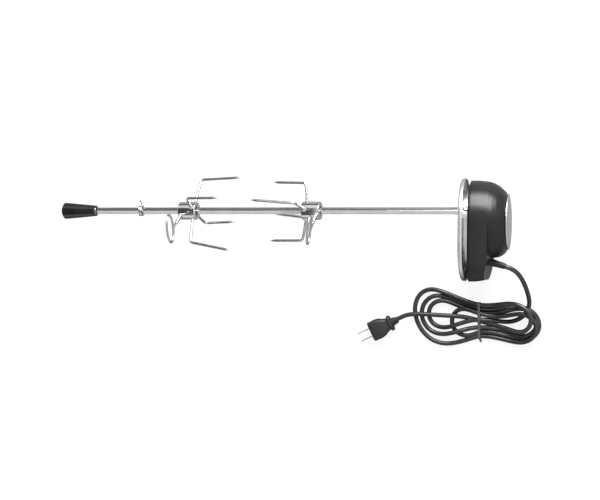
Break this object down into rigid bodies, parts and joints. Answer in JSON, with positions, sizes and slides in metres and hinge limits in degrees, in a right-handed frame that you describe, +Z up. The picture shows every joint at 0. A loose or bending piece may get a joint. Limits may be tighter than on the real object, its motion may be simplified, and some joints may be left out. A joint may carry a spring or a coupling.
{
  "type": "rotisserie spit roaster",
  "caption": "Geared rotisserie motor with a plug-in square spit, sliding meat forks held by thumbscrews, a tapered handle and a tied mains cord.",
  "frame": {"origin": "under the centre of the object without its cord, on the surface it lies on", "axes": "+X along the spit from the handle to the motor, +Y away from the motor's foot, +Z up from the surface"},
  "size_m": [0.7546, 0.2554, 0.123],
  "materials": {
    "chrome": "bright nickel-chrome plating, lightly brushed",
    "rod_steel": "plated drawn steel bar",
    "zinc": "zinc-plated steel",
    "bronze": "sintered bronze",
    "black_plastic": "satin black moulded plastic",
    "grip": "glossy black phenolic plastic",
    "nylon": "natural moulded nylon",
    "cap_metal": "pressed and brushed",
    "core_steel": "varnished laminations",
    "winding": "enamelled copper wire",
    "cord_jacket": "satin black cord jacket",
    "brass": "plated brass",
    "tie": "matt plastic-covered wire"
  },
  "bodies": {
    "motor": {"mounting_plate": "chrome", "drive_bushing": "bronze", "gearbox_shroud": "chrome", "shroud_screw": "zinc", "plate_screw_1": "zinc", "plate_screw_2": "zinc", "plate_screw_3": "zinc", "plate_screw_4": "zinc", "base_plate": "zinc", "gear_plate": "zinc", "gearbox_post_1": "zinc", "gearbox_post_2": "zinc", "gearbox_post_3": "zinc", "gearbox_post_4": "zinc", "axle_one": "rod_steel", "axle_two": "rod_steel", "stator_core": "core_steel", "motor_coil": "winding", "rotor_bridge": "zinc", "stator_stud_1": "zinc", "stator_stud_2": "zinc", "motor_housing": "black_plastic", "housing_screw_1": "zinc", "housing_screw_2": "zinc", "back_cap": "cap_metal", "strain_relief": "cord_jacket", "power_cord": "cord_jacket", "cord_hank": "cord_jacket", "hank_tie": "tie", "plug_lead": "cord_jacket", "plug_body": "cord_jacket", "plug_boot": "cord_jacket", "plug_blade_1": "brass", "plug_blade_2": "brass"},
    "drive": {"drive_socket": "zinc", "output_gear": "nylon"},
    "first_gear": {"gear_one": "nylon"},
    "second_gear": {"gear_two": "nylon"},
    "rotor_shaft": {"rotor": "core_steel", "rotor_pinion": "bronze"},
    "spit": {"spit_rod": "rod_steel", "handle_grip": "grip", "handle_ferrule": "chrome"},
    "rest_bushing": {"support_bushing": "chrome"},
    "rest_bushing_screw": {"bushing_thumbscrew": "chrome"},
    "left_fork": {"left_fork_hub": "chrome", "left_fork_long_tine_1": "chrome", "left_fork_long_tine_2": "chrome", "left_fork_short_tine_1": "chrome", "left_fork_short_tine_2": "chrome"},
    "left_fork_screw": {"left_fork_thumbscrew": "chrome"},
    "right_fork": {"right_fork_hub": "chrome", "right_fork_long_tine_1": "chrome", "right_fork_long_tine_2": "chrome", "right_fork_short_tine_1": "chrome", "right_fork_short_tine_2": "chrome"},
    "right_fork_screw": {"right_fork_thumbscrew": "chrome"}
  },
  "joints": [
    {"name": "drive_turn", "type": "hinge", "parent": "motor", "child": "drive", "pos_m": [0.2874, 0.0239, 0.0565], "axis": [1, 0, 0], "continuous": true},
    {"name": "first_gear_turn", "type": "hinge", "parent": "motor", "child": "first_gear", "pos_m": [0.3203, -0.01417, 0.06243], "axis": [1, 0, 0], "continuous": true},
    {"name": "second_gear_turn", "type": "hinge", "parent": "motor", "child": "second_gear", "pos_m": [0.3133, 0.0059, 0.0805], "axis": [1, 0, 0], "continuous": true},
    {"name": "rotor_turn", "type": "hinge", "parent": "motor", "child": "rotor_shaft", "pos_m": [0.3333, 0.0017, 0.04059], "axis": [1, 0, 0], "continuous": true},
    {"name": "spit_pull", "type": "slide", "parent": "drive", "child": "spit", "axis": [1, 0, 0], "range_m": [-0.08, 0]},
    {"name": "left_fork_slide", "type": "slide", "parent": "spit", "child": "left_fork", "axis": [1, 0, 0], "range_m": [-0.025, 0.045]},
    {"name": "right_fork_slide", "type": "slide", "parent": "spit", "child": "right_fork", "axis": [1, 0, 0], "range_m": [-0.045, 0.12]},
    {"name": "bushing_slide", "type": "slide", "parent": "spit", "child": "rest_bushing", "axis": [1, 0, 0], "range_m": [-0.05, 0.03]},
    {"name": "left_screw_turn", "type": "hinge", "parent": "left_fork", "child": "left_fork_screw", "pos_m": [-0.1494, 0.0239, 0.0565], "axis": [0, -0.5592, 0.829], "range_deg": [-180, 180]},
    {"name": "right_screw_turn", "type": "hinge", "parent": "right_fork", "child": "right_fork_screw", "pos_m": [0.0685, 0.0239, 0.0565], "axis": [0, -0.5736, 0.8192], "range_deg": [-180, 180]},
    {"name": "bushing_screw_turn", "type": "hinge", "parent": "rest_bushing", "child": "rest_bushing_screw", "pos_m": [-0.2207, 0.0239, 0.0565], "axis": [0, 1, 0], "range_deg": [-180, 180]}
  ],
  "couplings": [
    {"joint": "second_gear_turn", "follows": "drive_turn", "ratio": -4},
    {"joint": "first_gear_turn", "follows": "drive_turn", "ratio": 14},
    {"joint": "rotor_turn", "follows": "drive_turn", "ratio": -49}
  ]
}
